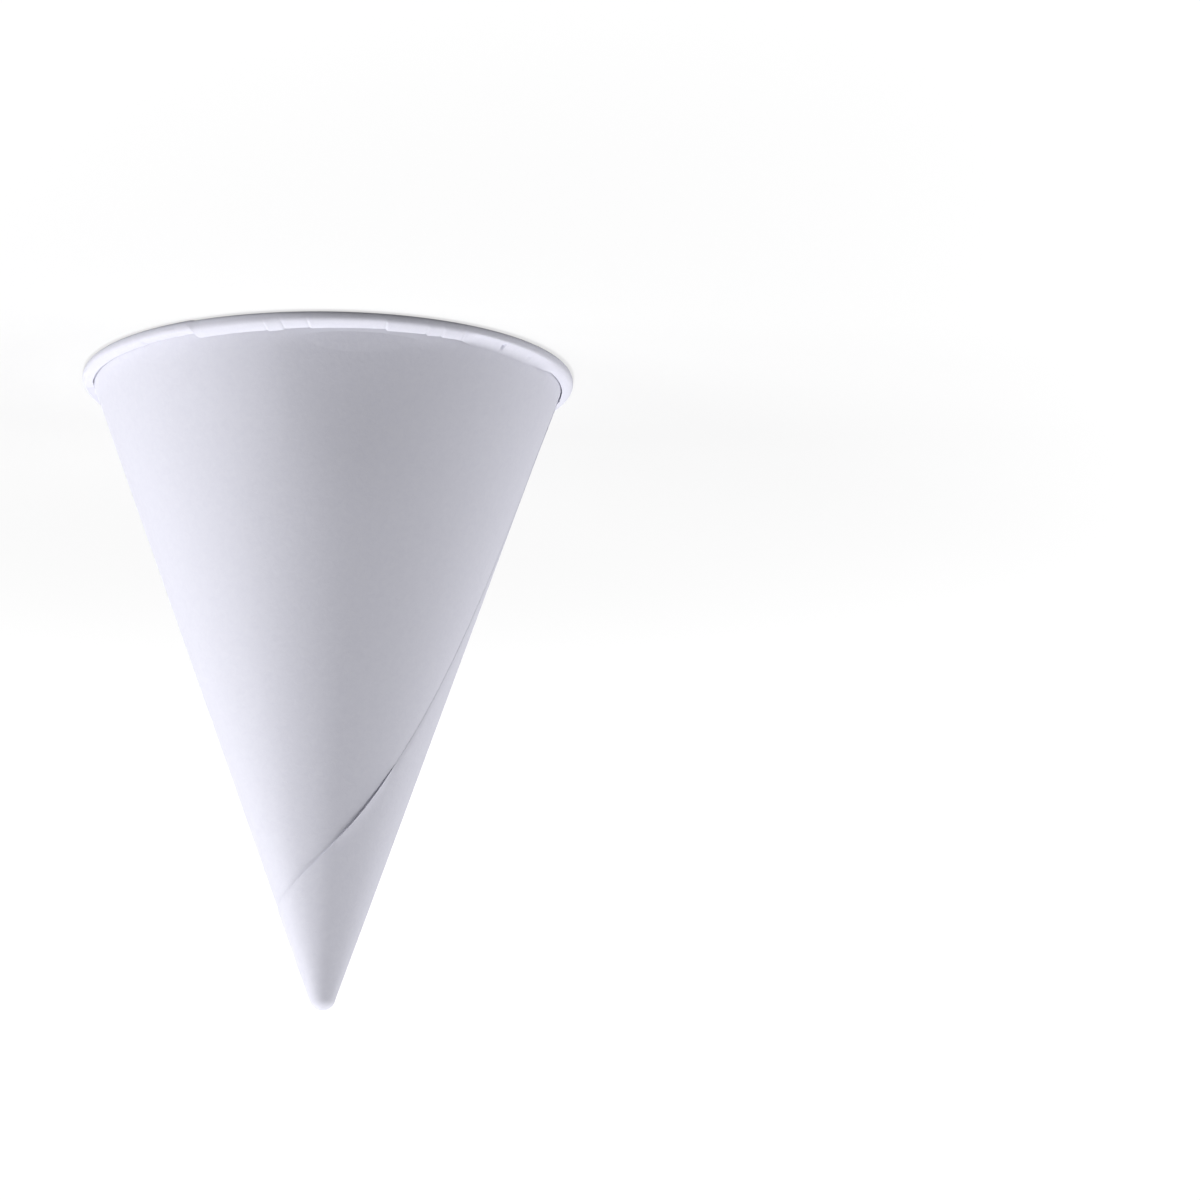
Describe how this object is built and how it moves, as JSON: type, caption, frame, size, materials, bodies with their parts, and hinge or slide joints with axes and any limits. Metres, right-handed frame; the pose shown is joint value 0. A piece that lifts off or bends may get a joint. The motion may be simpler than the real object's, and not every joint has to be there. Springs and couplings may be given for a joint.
{
  "type": "cone paper cup",
  "caption": "White cone-shaped paper cup for a drink of water: a sheet wound into a cone with a slanting overlap seam, a rounded tip and a mouth rolled outward into a rim.",
  "frame": {"origin": "centre of the circle on which the crest of the rolled rim stands, with the cup mouth down", "axes": "+Z along the axis of the cone from the mouth to the tip; -Y is the side with the lower half of the slanting seam"},
  "size_m": [0.0719, 0.0718, 0.0935],
  "materials": {
    "paper": "matte uncoated white paper"
  },
  "bodies": {
    "root": {"cone_cup": "paper"}
  },
  "joints": []
}
